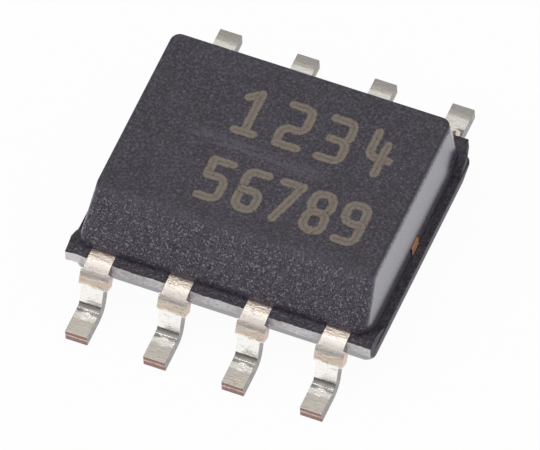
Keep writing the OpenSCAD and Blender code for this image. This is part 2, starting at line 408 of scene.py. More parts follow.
@dataclass(frozen=True)
class TinPlate(Finish):
    """Matt tin plating: warm and dull at the shoulder, grey on the foot; painted light gives the
    bend a highlight line, the leg a white floor reflection, the heel shade and a highlight, and
    the back feet their own light and shade.
    """

    name: str = "tin_plating"
    warm: Point = (0.90, 0.765, 0.665)
    # painted highlight: the bright line where the shoulder starts to bend
    crease: Point = (1.0, 0.96, 0.90)
    beige: Point = (0.86, 0.79, 0.74)
    # painted shade: the darker tan band across the lower ends of the stubs
    tan: Point = (0.70, 0.58, 0.46)
    # painted reflection of the white floor on the leg, and painted highlight in the heel's curve
    bright: Point = (0.98, 0.95, 0.91)
    cool: Point = (0.60, 0.555, 0.505)
    grey: Point = (0.36, 0.35, 0.33)
    # painted shade: the dark ragged band where the leg turns into the heel
    heel_shade: Point = (0.17, 0.16, 0.15)
    pit: Point = (0.34, 0.30, 0.27)
    pitch: float = 1.27
    grain_per_mm: float = 26.0
    streaks_per_mm: float = 24.0
    patches_per_mm: float = 8.0
    highlight_line_y: Point = (1.985, 2.004)
    highlight_line_z: Point = (0.7, 0.75)
    bend_y: Point = (2.0, 2.1)
    tan_shade_z: Point = (0.55, 0.65)
    leg_z: Point = (0.52, 0.56)
    heel_y: Point = (2.57, 2.62)
    heel_z: Point = (0.255, 0.265)
    # painted highlight: place of the bright oval in the heel's inner curve
    oval_y: float = 2.64
    oval_z: Point = (0.21, 0.23)
    foot_y: Point = (2.66, 2.72)
    # on the back leads only, the painted light of the leg reaches further onto the foot
    back_foot: float = 0.09
    tip_y: Point = (2.76, 2.92)

    def paint(self, graph: Graph) -> bpy.types.NodeSocket:
        """Builds the shader, with its tint and painted light from the shoulder to the foot.

        Args:
            graph: The material's tree.

        Returns:
            The shader's output.
        """
        place = graph.place()
        x, y, z = graph.axes(place)
        out = abs(y)
        half = self.pitch / 2
        across = (x - half).math("WRAP", half, -half)
        fine = graph.noise(place, self.grain_per_mm, 2.0, 0.6)
        streak = graph.noise(graph.stretched(place, (0.35, 1.0, 1.0)),
                             self.streaks_per_mm, 3.0, 0.65)
        patch = graph.noise(place, self.patches_per_mm, 3.0, 0.6)
        ragged = (streak - 0.5) * 0.5 + (patch - 0.5) * 0.5
        back = y.rise(0.0, 1.0)
        tint = graph.blend(self.warm, self.beige, (out + ragged * 0.06).rise(*self.bend_y))
        # painted highlight: a thin bright line at the start of the shoulder's bend
        line = (out + ragged * 0.02).band(*self.highlight_line_y, 0.006) * z.rise(*self.highlight_line_z)
        tint = graph.blend(tint, self.crease, line * fine.rise(0.3, 0.5))
        edge = z + ragged * 0.08
        # painted shade: the darker tan band across the lower ends of the stubs
        tint = graph.blend(tint, self.tan, edge.band(*self.tan_shade_z, 0.02) * 0.9)
        # painted reflection: the leg is made near white, standing in for the white floor that it
        # mirrors
        rough = edge.rise(*self.leg_z)
        leg = 1 - rough
        tint = graph.blend(tint, self.bright, leg)
        # on the back leads, the painted light of the leg reaches further onto the foot
        foot = (out + ragged * 0.05 - back * self.back_foot).rise(*self.foot_y)
        tint = graph.blend(tint, self.cool, foot)
        # painted shade: the tips of the back feet are darkened
        tip = (out + ragged * 0.05).rise(*self.tip_y) * back
        tint = graph.blend(tint, self.grey, tip * 0.8)
        # painted shade: a dark ragged band where the leg turns into the heel
        low = 1 - (z + ragged * 0.03).rise(*self.heel_z)
        heel_shade_mask = low * (1 - (out + ragged * 0.12).rise(*self.heel_y))
        tint = graph.blend(tint, self.heel_shade, heel_shade_mask * (0.5 + streak * 0.6))
        # painted highlight: a bright oval in the inner curve of the heel
        ahead = out - self.oval_y
        oval = across * across * 110 + ahead * ahead * 160 + ragged * 0.5
        heel_highlight = (1 - oval.rise(0.6, 1.3)) * (1 - z.rise(*self.oval_z))
        tint = graph.blend(tint, self.bright, heel_highlight)
        dull = graph.blend(tint, self.pit, streak.rise(0.54, 0.72) * (0.4 + rough * 0.15)
                           + fine.rise(0.6, 0.72) * (0.3 + rough * 0.15))
        return graph.skin({
            "Base Color": dull,
            "Metallic": 1.0,
            "Roughness": 0.26 - leg * (1 - foot) * 0.12 + fine * 0.06,
            "Normal": graph.bump((streak * 0.7 + patch * 0.3) * (1 + rough * 1.4)
                                 + fine * rough * 0.8, 0.0035),
        })


@dataclass(frozen=True)
class StampedEdge(Finish):
    """Side of a lead where the punch went through: dull grey with burrs and drag lines, darkened
    further as painted shade of the shadowed floor that the sides mirror.
    """

    name: str = "stamped_edge"
    dark: Point = (0.27, 0.26, 0.255)
    light: Point = (0.42, 0.40, 0.385)

    def paint(self, graph: Graph) -> bpy.types.NodeSocket:
        """Builds the shader.

        Args:
            graph: The material's tree.

        Returns:
            The shader's output.
        """
        place = graph.place()
        drag = graph.noise(graph.stretched(place, (1.0, 0.5, 0.5)), 30.0)
        return graph.skin({
            # painted shade: the grey is darker than the plating, standing in for the shadowed
            # floor that the sides mirror; the drag lines are the metal's own
            "Base Color": graph.blend(self.dark, self.light, drag.rise(0.35, 0.7)),
            "Metallic": 0.9,
            "Roughness": 0.42,
            "Normal": graph.bump(drag, 0.003),
        })


@dataclass(frozen=True)
class ShearedCopper(Finish):
    """Copper bared where the leads were cut off, with a bright line between its zones."""

    name: str = "sheared_copper"
    copper: Point = (0.36, 0.20, 0.175)
    dark: Point = (0.22, 0.13, 0.115)
    peach: Point = (0.80, 0.60, 0.53)
    smear: Point = (0.72, 0.66, 0.63)
    line_z: Point = (0.1, 0.13)
    stub_z: Point = (0.3, 0.34)

    def paint(self, graph: Graph) -> bpy.types.NodeSocket:
        """Builds the shader: dark on a foot's end, peach on a stub of the dam bar.

        Args:
            graph: The material's tree.

        Returns:
            The shader's output.
        """
        place = graph.place()
        z = graph.axes(place)[2]
        drag = graph.noise(graph.stretched(place, (1.6, 1.0, 0.5)), 24.0)
        patch = graph.noise(place, 10.0)
        colour = graph.blend(self.copper, self.dark, drag.rise(0.35, 0.7) * 0.8)
        line = z.band(*self.line_z, 0.014) * patch.rise(0.3, 0.5)
        colour = graph.blend(colour, self.smear, line * 0.85)
        stub = graph.blend(self.peach, self.smear, patch.rise(0.4, 0.7) * 0.6)
        return graph.skin({
            "Base Color": graph.blend(colour, stub, z.rise(*self.stub_z)),
            "Metallic": 0.85,
            "Roughness": 0.42,
            "Normal": graph.bump(drag, 0.003),
        })


@dataclass(frozen=True)
class Metal(Finish):
    """Plain bare metal with fine rolling marks and patches of tarnish."""

    name: str = "rolled_copper"
    base: Point = (0.90, 0.44, 0.22)
    tarnish: Point = (0.60, 0.27, 0.12)
    roughness: float = 0.35
    marks_per_mm: float = 20.0
    metallic: float = 0.6

    def tint(self, graph: Graph, place: bpy.types.NodeSocket) -> bpy.types.NodeSocket:
        """Colour of the metal."""
        patch = graph.noise(place, 5.0, 3.0)
        return graph.blend(self.base, self.tarnish, patch.rise(0.4, 0.75) * 0.6)

    def paint(self, graph: Graph) -> bpy.types.NodeSocket:
        """Builds the shader.

        Args:
            graph: The material's tree.

        Returns:
            The shader's output.
        """
        place = graph.place()
        marks = graph.noise(graph.stretched(place, (0.15, 1.0, 1.0)), self.marks_per_mm)
        return graph.skin({
            "Base Color": self.tint(graph, place),
            "Metallic": self.metallic,
            "Roughness": self.roughness + marks * 0.1,
            "Normal": graph.bump(marks, 0.002),
        })


@dataclass(frozen=True)
class TieBarCopper(Metal):
    """Copper of the pad, whose tie bars end in a sheared face with a bright lower edge."""

    name: str = "sheared_tie_bar"
    olive: Point = (0.10, 0.07, 0.04)
    edge: Point = (1.0, 0.78, 0.58)
    end_x: Point = (2.2, 2.25)
    rim_y: Point = (0.105, 0.13)
    burr_z: Point = (0.635, 0.66)
    edge_z: Point = (0.66, 0.69)
    shade_z: Point = (0.74, 0.78)

    def tint(self, graph: Graph, place: bpy.types.NodeSocket) -> bpy.types.NodeSocket:
        """Colour of the metal, with the zones of the sheared ends.

        Args:
            graph: The material's tree.
            place: The place on the pad.

        Returns:
            The colour.
        """
        x, y, z = graph.axes(place)
        end = abs(x).rise(*self.end_x)
        ragged = (graph.noise(place, 18.0) - 0.5) * 0.05
        up = z + ragged
        colour = super().tint(graph, place)
        colour = graph.blend(colour, self.tarnish, up.rise(*self.shade_z) * end * 0.7)
        rim = (abs(y) + ragged).rise(*self.rim_y).most(1 - up.rise(*self.burr_z))
        colour = graph.blend(colour, self.edge, up.band(*self.edge_z, 0.01) * end)
        return graph.blend(colour, self.olive, rim * end)


@dataclass(frozen=True)
class LaserMark(Finish):
    """Compound burnt to a dusty tan by the marking laser, in two passes a stroke."""

    name: str = "laser_mark"
    tan: Point = (0.245, 0.205, 0.170)
    worn: Point = (0.085, 0.074, 0.076)

    def paint(self, graph: Graph) -> bpy.types.NodeSocket:
        """Builds the shader. The stroke attribute is 0 on a stroke's line, 1 at its rim.

        Args:
            graph: The material's tree.

        Returns:
            The shader's output.
        """
        place = graph.place()
        mark = graph.node("ShaderNodeAttribute", {"attribute_name": "stroke"})
        across = Num(graph, mark.outputs["Fac"])
        fine = graph.noise(place, 24.0, 2.0, 0.6)
        patch = graph.noise(place, 9.0)
        groove = (1 - across.rise(0.0, 0.3)) * 0.4
        rim = (across + (fine - 0.5) * 0.8).rise(0.75, 1.1)
        worn = groove + rim + fine.rise(0.5, 0.75) * 0.5 + patch.rise(0.5, 0.8) * 0.25
        return graph.skin({
            "Base Color": graph.blend(self.tan, self.worn, worn.least(1.0)),
            "Roughness": 0.8,
            "Normal": graph.bump(fine, 0.006),
        })


@dataclass(frozen=True)
class StudioFloor(Finish):
    """White table, lit through for the eye and for mirrors, and shaded by lamps."""

    name: str = "studio_floor"
    seen: float = 0.96

    def paint(self, graph: Graph) -> bpy.types.NodeSocket:
        """Builds the shader.

        Args:
            graph: The material's tree.

        Returns:
            The shader's output.
        """
        ray = graph.node("ShaderNodeLightPath").outputs
        mirrored = Num(graph, ray["Is Glossy Ray"]).most(
            Num(graph, ray["Is Transmission Ray"]))
        share = mirrored.most(Num(graph, ray["Is Camera Ray"]) * self.seen)
        matt = graph.node("ShaderNodeBsdfDiffuse", inputs={"Color": (0.93, 0.93, 0.93)})
        glow = graph.node(
            "ShaderNodeEmission", inputs={"Color": (1.0, 1.0, 1.0), "Strength": 1.0})
        return graph.node(
            "ShaderNodeMixShader", inputs={0: share, 1: matt.outputs[0], 2: glow.outputs[0]}
        ).outputs[0]


# --------------------------------------------------------------------------- bench


class Pick(Enum):
    """What a selection holds, and where an edited mesh keeps it."""

    FACE = "faces"
    EDGE = "edges"
    VERT = "verts"


class Bench:
    """One mesh on the bench, in millimetres, shaped with the edit-mode operators."""

    def __init__(self, name: str) -> None:
        """Takes the object that an operator has just made, and edits it.

        Args:
            name: Its new name.
        """
        self.obj = bpy.context.object
        self.obj.name = name
        bpy.ops.object.transform_apply(location=True, rotation=True, scale=True)
        bpy.ops.object.mode_set(mode="EDIT")

    @staticmethod
    def clear() -> None:
        """Deselects every object, the frame's own among them."""
        if bpy.context.object and bpy.context.object.mode != "OBJECT":
            bpy.ops.object.mode_set(mode="OBJECT")
        bpy.ops.object.select_all(action="DESELECT")

    @classmethod
    def block(cls, name: str, low: Point, high: Point) -> "Bench":
        """Starts from a cube between two corners.

        Args:
            name: The object's name.
            low: The lower corner.
            high: The upper corner.

        Returns:
            The bench, in edit mode.
        """
        cls.clear()
        centre = [(a + b) / 2 for a, b in zip(low, high)]
        size = [b - a for a, b in zip(low, high)]
        bpy.ops.mesh.primitive_cube_add(size=1.0, location=centre, scale=size)
        return cls(name)

    @classmethod
    def plate(cls, name: str, centre: Point, size: Point) -> "Bench":
        """Starts from a level plane.

        Args:
            name: The object's name.
            centre: Its centre.
            size: Its length and width.

        Returns:
            The bench, in edit mode.
        """
        cls.clear()
        bpy.ops.mesh.primitive_plane_add(size=1.0, location=centre)
        return cls(name).resize((*size, 1.0), centre)

    def edit(self) -> bmesh.types.BMesh:
        """Returns the mesh as it is in edit mode."""
        return bmesh.from_edit_mesh(self.obj.data)

    def pick(self, kind: Pick, test: Callable[..., bool]) -> "Bench":
        """Selects by place.

        Args:
            kind: What is selected.
            test: Takes a face's centre and normal, an edge's two ends or a corner's place,
                and says whether it is selected.

        Returns:
            The bench.
        """
        bpy.ops.mesh.select_mode(type=kind.name)
        bpy.ops.mesh.select_all(action="DESELECT")
        mesh = self.edit()
        for part in getattr(mesh, kind.value):
            if kind is Pick.FACE:
                part.select_set(test(part.calc_center_median(), part.normal))
            elif kind is Pick.EDGE:
                part.select_set(test(*(vert.co for vert in part.verts)))
            else:
                part.select_set(test(part.co))
        if kind is Pick.VERT:
            mesh.select_flush_mode()
        bmesh.update_edit_mesh(self.obj.data)
        return self

    def faces(self, test: Callable[[Vector, Vector], bool]) -> "Bench":
        """Selects the faces whose centre and normal pass a test."""
        return self.pick(Pick.FACE, test)

    def edges(self, test: Callable[[Vector, Vector], bool]) -> "Bench":
        """Selects the edges whose two ends pass a test."""
        return self.pick(Pick.EDGE, test)

    def corners(self, test: Callable[[Vector], bool]) -> "Bench":
        """Selects the vertices whose place passes a test."""
        return self.pick(Pick.VERT, test)

    def paint(self, number: int) -> "Bench":
        """Gives the selected faces a material slot.

        Args:
            number: The slot's number.

        Returns:
            The bench.
        """
        for face in self.edit().faces:
            if face.select:
                face.material_index = number
        return self

    def extrude(self, by: Point) -> "Bench":
        """Extrudes what is selected."""
        bpy.ops.mesh.extrude_region_move(TRANSFORM_OT_translate={"value": tuple(by)})
        return self

    def move(self, by: Point) -> "Bench":
        """Moves what is selected."""
        bpy.ops.transform.translate(value=tuple(by))
        return self

    def resize(self, by: Point, about: Point) -> "Bench":
        """Scales what is selected about a point."""
        bpy.ops.transform.resize(value=tuple(by), center_override=tuple(about))
        return self

    def spin(self, steps: int, degrees: float, about: Point, axis: Point) -> "Bench":
        """Extrudes what is selected round an axis, which the operator turns backwards."""
        bpy.ops.mesh.spin(
            steps=steps, angle=-math.radians(degrees), center=tuple(about), axis=tuple(axis)
        )
        return self

    def cut(self, at: Point, normal: Point) -> "Bench":
        """Cuts every face along a plane and keeps both sides.

        Args:
            at: A point of the plane.
            normal: The plane's normal.

        Returns:
            The bench.
        """
        bpy.ops.mesh.select_all(action="SELECT")
        bpy.ops.mesh.bisect(plane_co=tuple(at), plane_no=tuple(normal), threshold=NEAR / 10)
        return self

    def bevel(self, width: float, segments: int, affect: str = "EDGES") -> "Bench":
        """Rounds what is selected."""
        bpy.ops.mesh.bevel(offset=width, segments=segments, affect=affect)
        return self

    def clean(self) -> "Bench":
        """Merges doubles, then turns every face outwards.

        Returns:
            The bench.
        """
        bpy.ops.mesh.select_all(action="SELECT")
        bpy.ops.mesh.remove_doubles(threshold=NEAR / 2)
        bpy.ops.mesh.normals_make_consistent(inside=False)
        return self

    def off(self) -> bpy.types.Object:
        """Leaves edit mode and returns the object."""
        bpy.ops.object.mode_set(mode="OBJECT")
        return self.obj

    def modify(self, kind: str, **settings: object) -> "Bench":
        """Adds a modifier and applies it.

        Args:
            kind: The modifier's type.
            settings: Its properties.

        Returns:
            The bench, in edit mode.
        """
        self.off()
        made = self.obj.modifiers.new(kind.lower(), kind)
        for key, value in settings.items():
            setattr(made, key, value)
        bpy.ops.object.modifier_apply(modifier=made.name)
        bpy.ops.object.mode_set(mode="EDIT")
        return self

    def smooth(self, degrees: float) -> "Bench":
        """Shades smooth where faces meet within an angle, and keeps flat faces flat.

        Args:
            degrees: The angle.

        Returns:
            The bench, in edit mode.
        """
        self.off()
        bpy.ops.object.shade_smooth_by_angle(angle=math.radians(degrees))
        return self.modify("WEIGHTED_NORMAL", keep_sharp=True)


def join(name: str, pieces: Sequence[bpy.types.Object]) -> Bench:
    """Joins pieces into the first of them.

    Args:
        name: Name of the joined object.
        pieces: The pieces, in object mode.

    Returns:
        The bench, in edit mode.
    """
    Bench.clear()
    for piece in pieces:
        piece.select_set(True)
    bpy.context.view_layer.objects.active = pieces[0]
    bpy.ops.object.join()
    return Bench(name)


def finish_piece(piece: bpy.types.Object, finishes: Iterable[Finish],
                 node: str | None = None) -> bpy.types.Object:
    """Brings a piece to metres, dresses it and lets it ride on the frame.

    Args:
        piece: The object, in object mode.
        finishes: The finishes of its material slots, in order.
        node: The CAD node that it stands for.

    Returns:
        The piece.
    """
    piece.data.transform(Matrix.Scale(MM, 4))
    for finish in finishes:
        piece.data.materials.append(finish.material())
    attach(piece, "root")
    if node:
        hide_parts(node)
    LOG.info("%s: %d faces", piece.name, len(piece.data.polygons))
    return piece


# --------------------------------------------------------------------------- moulding


@dataclass
class Level:
    """Outline of the moulding at one height: half length, front and back."""

    z: float
    x: float
    front: float
    back: float


@dataclass
class Moulding:
    """The moulded body, raised level by level from its underside."""

    length: float = 5.0
    width: float = 3.84
    bottom: float = 0.15
    top: float = 1.65
    parting: float = 0.62
    land: float = 0.06
    end_ledge: float = 0.13
    side_ledge: float = 0.045
    upper_draft: float = 6.0
    lower_draft: float = 12.0
    corner: float = 0.2
    edge: float = 0.05
    bevel_foot: float = 0.95
    bevel_run: float = 0.56
    ridge: float = 0.13
    crease: float = 0.03
    crease_in: float = 0.006
    front_steps: int = 4
    rim: float = 0.008
    mark_d: float = 1.0
    mark_depth: float = 0.04
    mark_edge: float = 0.015
    corner_steps: int = 10
    edge_steps: int = 6

    def upper(self, z: float) -> Level:
        """Outline of the upper half, without its edge rounding.

        Args:
            z: The height.

        Returns:
            The outline at that height.
        """
        lean = (z - self.parting) * math.tan(math.radians(self.upper_draft))
        slope = self.bevel_run / (self.top - self.bevel_foot)
        back = self.width / 2 - self.side_ledge - lean
        cut = max(0.0, z - self.bevel_foot) * (slope - math.tan(math.radians(self.upper_draft)))
        return Level(z, self.length / 2 - self.end_ledge - lean, back - cut, back)

    def lower(self, z: float) -> Level:
        """Outline of the lower half, without its edge rounding.

        Args:
            z: The height.

        Returns:
            The outline at that height.
        """
        down = max(0.0, self.parting - self.land - z)
        lean = down * math.tan(math.radians(self.lower_draft))
        return Level(z, self.length / 2 - lean, self.width / 2 - lean, self.width / 2 - lean)

    def ridge_front(self, z: float) -> float:
        """Front of the outline where the bevel rolls over into the top.

        Args:
            z: The height.

        Returns:
            Distance of the front from the middle of the moulding.
        """
        run, drop = self.bevel_run, self.top - self.bevel_foot
        angle = math.atan2(drop, run)
        reach = self.ridge * math.tan(angle / 2)
        centre = self.upper(self.top).front - reach
        above = z - (self.top - self.ridge)
        if z < self.top - reach * math.sin(angle):
            return self.upper(z).front
        return centre + math.sqrt(max(0.0, self.ridge ** 2 - above ** 2))

    def levels(self) -> list[Level]:
        """Lists every level of the moulding.

        Returns:
            The levels, from the underside to the top.
        """
        made = []
        turns = [90 * i / self.edge_steps for i in range(self.edge_steps + 1)]
        for turn in turns:
            inset = self.edge * (1 - math.sin(math.radians(turn)))
            at = self.lower(self.bottom + self.edge * (1 - math.cos(math.radians(turn))))
            made.append(Level(at.z, at.x - inset, at.front - inset, at.back - inset))
        seam = self.lower(self.parting - self.land)
        rim = self.rim
        made += [seam, self.lower(self.parting - rim)]
        made.append(Level(self.parting, seam.x - rim, seam.front - rim, seam.back - rim))
        foot = self.upper(self.parting)
        made.append(Level(self.parting, foot.x + rim, foot.front + rim, foot.back + rim))
        made.append(self.upper(self.parting + rim))
        low = self.bevel_foot - self.crease
        made += [self.upper(low + step) for step in (0.0, 0.02)]
        soft = self.upper(self.bevel_foot)
        made.append(Level(soft.z, soft.x, soft.front - self.crease_in, soft.back))
        made.append(self.upper(self.bevel_foot + self.crease))
        start, end = self.bevel_foot + 0.05, self.top - self.edge - 0.03
        for step in range(self.front_steps + 1):
            made.append(self.upper(start + (end - start) * step / self.front_steps))
        for turn in turns:
            inset = self.edge * (1 - math.cos(math.radians(turn)))
            z = self.top - self.edge * (1 - math.sin(math.radians(turn)))
            at = self.upper(z)
            made.append(Level(z, at.x - inset, self.ridge_front(z), at.back - inset))
        return made

    def build(self) -> bpy.types.Object:
        """Models the moulding and dresses it.

        Returns:
            The piece, which stands for its CAD node.
        """
        levels = self.levels()
        now = levels[0]
        bench = Bench.plate(
            "moulding", (0, (now.back - now.front) / 2, now.z),
            (2 * now.x, now.front + now.back))
        bench.corners(lambda at: True).bevel(
            self.corner - self.edge, self.corner_steps, "VERTICES")
        bench.faces(lambda at, normal: True)
        for level in levels[1:]:
            bench.extrude((0, 0, level.z - now.z))
            bench.resize((level.x / now.x, 1, 1), (0, 0, level.z))
            top = [v.index for v in bench.edit().verts if v.select]
            for side, by in ((-1, now.front - level.front), (1, level.back - now.back)):
                picked = set(top)
                for vert in bench.edit().verts:
                    vert.select_set(vert.index in picked and vert.co.y * side > 0)
                bpy.ops.mesh.select_mode(type="VERT")
                bench.move((0, by, 0))
            mesh = bench.edit()
            mesh.verts.ensure_lookup_table()
            for index in top:
                mesh.verts[index].select_set(True)
            mesh.select_flush(True)
            bmesh.update_edit_mesh(bench.obj.data)
            bpy.ops.mesh.select_mode(type="FACE")
            now = level
        bench.clean().off()
        body = bench.obj
        Bench.clear()
        bpy.ops.mesh.primitive_cylinder_add(
            vertices=96, radius=self.mark_d / 2, depth=2 * self.mark_depth,
            location=(0, 0, self.bottom))
        mark = Bench("ejector_mark")
        mark.edges(lambda a, b: a.z > self.bottom and b.z > self.bottom)
        mark.bevel(self.mark_edge, 2).off()
        Bench.clear()
        body.select_set(True)
        bpy.context.view_layer.objects.active = body
        bpy.ops.object.mode_set(mode="EDIT")
        bench.modify("BOOLEAN", operation="DIFFERENCE", object=mark.obj)
        bpy.data.objects.remove(mark.obj)
        bench.smooth(32)
        return finish_piece(
            bench.off(), [MouldingCompound()], "moulded_body")


# --------------------------------------------------------------------------- flash


@dataclass
class Flash:
    """Webs of compound left between the leads, broken off at the dam bar."""

    ends: tuple[tuple[float, float], ...] = ((-2.46, 2.49), (-2.45, 2.39))
    bottom: float = 0.62
    thick: float = 0.2
    root_y: float = 1.76
    edge_y: float = 2.046
    outward: float = 0.3
    margin: float = 0.05
    foot_x: float = 2.485
    wrap_y: float = 1.45
    turn_y: float = 1.75
    outer_y: float = 1.9
    fall_y: float = 1.6
    first_share: float = 0.45
    fall_height: float = 0.6
    foot_height: float = 0.05
    strength: float = 0.04
    reliefs: tuple[tuple[str, float, float], ...] = (("bays", 0.45, 1.0), ("chips", 0.07, 0.7))
    lead_w: float = 0.4
    pitch: float = 1.27
    step: float = 0.03
    layers: int = 5

    def spans(self, left: float, right: float) -> list[tuple[float, float]]:
        """Stretches of a side that no lead takes up.

        Args:
            left: One end of the side.
            right: Its other end.

        Returns:
            Both ends of each stretch.
        """
        edges = [left]
        for place in range(PER_SIDE):
            centre = (place - (PER_SIDE - 1) / 2) * self.pitch
            edges += [centre - self.lead_w / 2, centre + self.lead_w / 2]
        edges.append(right)
        return list(zip(edges[::2], edges[1::2]))

    def wrap(self, bench: Bench, end: float, foot: float) -> None:
        """Leads the end of a side's web round the corner and down to the end ledge.

        Args:
            bench: The web.
            end: Its place along the moulding at the outer edge.
            foot: The same place where the web has run down to the ledge.
        """
        for y in (self.fall_y, self.turn_y, self.outer_y):
            for side in (-1, 1):
                bench.cut((0, side * y, 0), (0, 1, 0))
        out = foot - end
        near = self.margin
        for low, share in ((self.outer_y - near, self.first_share), (0.0, 1.0)):
            bench.corners(lambda v: abs(v.x - end) < NEAR
                          and low < abs(v.y) < self.outer_y + near)
            bench.move((out * share, 0, 0))
        for y, height in ((self.fall_y, self.fall_height), (self.wrap_y, self.foot_height)):
            bench.corners(lambda v: abs(abs(v.y) - y) < NEAR)
            bench.resize((1, 1, height), (0, 0, self.bottom))

    def web(self, number: int, low: float, high: float, side: int,
            foot: float | None) -> bpy.types.Object:
        """Models the web of one stretch.

        Args:
            number: Its number on its side.
            low: Its left end.
            high: Its right end.
            side: -1 at the front, 1 at the back.
            foot: Where it has run down to the end ledge, if it goes round a corner.

        Returns:
            The web, in object mode.
        """
        top = self.bottom + self.thick
        root = self.root_y if foot is None else self.wrap_y
        at = sorted((side * root, side * self.edge_y))
        bench = Bench.block(f"flash_{number}", (low, at[0], self.bottom),
                            (high, at[1], top))
        steps = max(2, round((high - low) / self.step))
        for step in range(1, steps):
            bench.cut((low + (high - low) * step / steps, 0, 0), (1, 0, 0))
        for layer in range(1, self.layers):
            bench.cut((0, 0, self.bottom + self.thick * layer / self.layers), (0, 0, 1))
        edge = side * self.edge_y
        bench.off()
        group = bench.obj.vertex_groups.new(name="edge")
        group.add([v.index for v in bench.obj.data.vertices if abs(v.co.y - edge) < NEAR],
                  1.0, "REPLACE")
        bpy.ops.object.mode_set(mode="EDIT")
        for name, size, share in self.reliefs:
            cloud = bpy.data.textures.new(name, "CLOUDS")
            cloud.noise_scale = size
            bench.modify("DISPLACE", texture=cloud, texture_coords="LOCAL", direction="Y",
                         strength=self.strength * share, mid_level=0.5,
                         vertex_group="edge")
        if foot is not None:
            self.wrap(bench, low if foot < 0 else high, foot)
        return bench.clean().off()

    def build(self) -> list[bpy.types.Object]:
        """Models the webs of both sides and dresses them.

        Returns:
            The two pieces.
        """
        pieces = []
        for name, side, ends in (("flash_front", -1, self.ends[0]),
                                 ("flash_back", 1, self.ends[1])):
            feet = (-self.foot_x, None, None, None, self.foot_x)
            webs = [self.web(n, low, high, side, foot)
                    for n, ((low, high), foot) in enumerate(zip(self.spans(*ends), feet))]
            bench = join(name, webs)
            bench.faces(lambda at, normal: True).paint(0)
            bench.faces(lambda at, n: n.y * side > self.outward
                        and abs(at.y) > self.edge_y - self.margin)
            bench.paint(1).smooth(30)
            pieces.append(finish_piece(
                bench.off(), [MouldingCompound(), BrokenFlash()],
                "moulded_body"))
        return pieces


# --------------------------------------------------------------------------- leads


